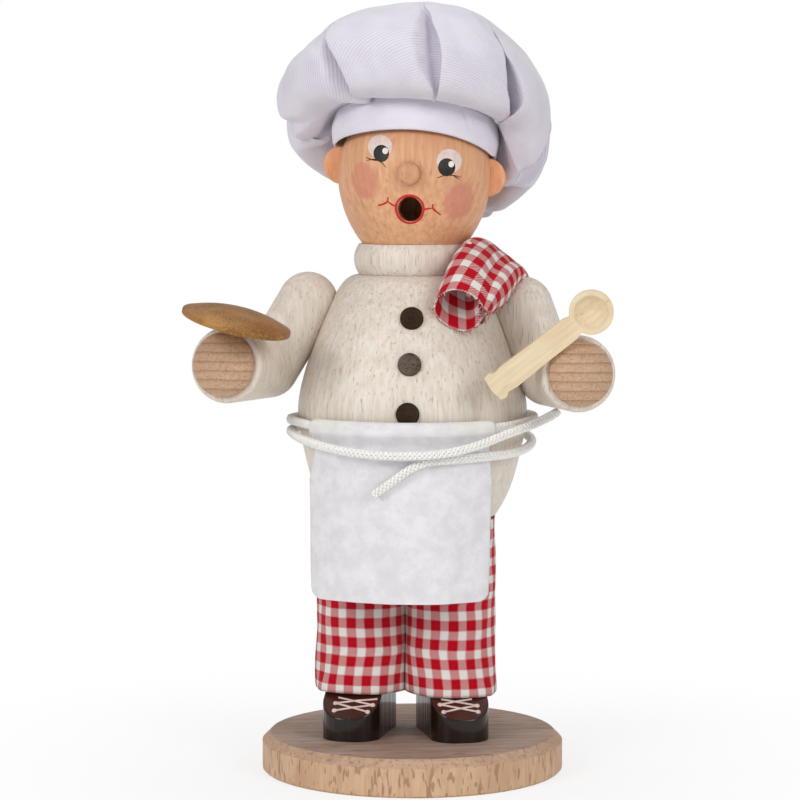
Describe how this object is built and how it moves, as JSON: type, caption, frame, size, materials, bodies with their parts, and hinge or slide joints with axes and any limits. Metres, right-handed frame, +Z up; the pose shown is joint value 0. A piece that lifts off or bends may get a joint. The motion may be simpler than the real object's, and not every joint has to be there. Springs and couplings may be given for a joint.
{
  "type": "incense smoker figure",
  "caption": "Turned wooden incense smoker shaped as a chef; the hollow upper body lifts off a dish and smoke leaves by the mouth.",
  "frame": {"origin": "centre of the base plate's underside", "axes": "+Z up; the figure faces -Y; its right hand is on -X and its left hand on +X"},
  "size_m": [0.1029, 0.0823, 0.1891],
  "materials": {
    "natural_beech": "bare turned beech, satin",
    "shoe_lacquer": "dark brown gloss lacquer on wood",
    "plain_dowel": "bare wood",
    "dish_steel": "thin sheet, dull",
    "gingham": "red and white woven check, matt",
    "cream_wash": "white wash over grain, satin",
    "skin_stain": "light tan stain over grain, satin",
    "hand_beech": "bare beech end grain, satin",
    "dark_stain": "dark brown stain, satin",
    "white_felt": "felt, matt",
    "white_braid": "braided cord, matt",
    "gold_paint": "bronze gold paint on wood",
    "spoon_wood": "bare pale wood, matt",
    "white_twill": "cotton twill, matt"
  },
  "bodies": {
    "lower_body": {"base_plate": "natural_beech", "shoe_right": "shoe_lacquer", "shoe_left": "shoe_lacquer", "leg_right": "plain_dowel", "leg_left": "plain_dowel", "hip_block": "plain_dowel", "incense_dish": "dish_steel", "dish_nail": "dish_steel", "trousers": "gingham"},
    "upper_body": {"torso": "cream_wash", "neck_collar": "cream_wash", "head": "skin_stain", "nose": "skin_stain", "ear_right": "skin_stain", "ear_left": "skin_stain", "upper_arm_right": "cream_wash", "upper_arm_left": "cream_wash", "forearm_right": "cream_wash", "forearm_left": "cream_wash", "hand_right": "hand_beech", "hand_left": "hand_beech", "shoulder_dowel_right": "plain_dowel", "shoulder_dowel_left": "plain_dowel", "button_top": "dark_stain", "button_middle": "dark_stain", "button_bottom": "dark_stain", "apron": "white_felt", "apron_string": "white_braid", "golden_lid": "gold_paint", "wooden_spoon": "spoon_wood", "shoulder_towel": "gingham", "hat_band": "white_twill", "hat_crown": "white_twill"}
  },
  "joints": [
    {"name": "torso_lift", "type": "slide", "parent": "lower_body", "child": "upper_body", "axis": [0, 0, 1], "range_m": [0, 0.06]}
  ]
}
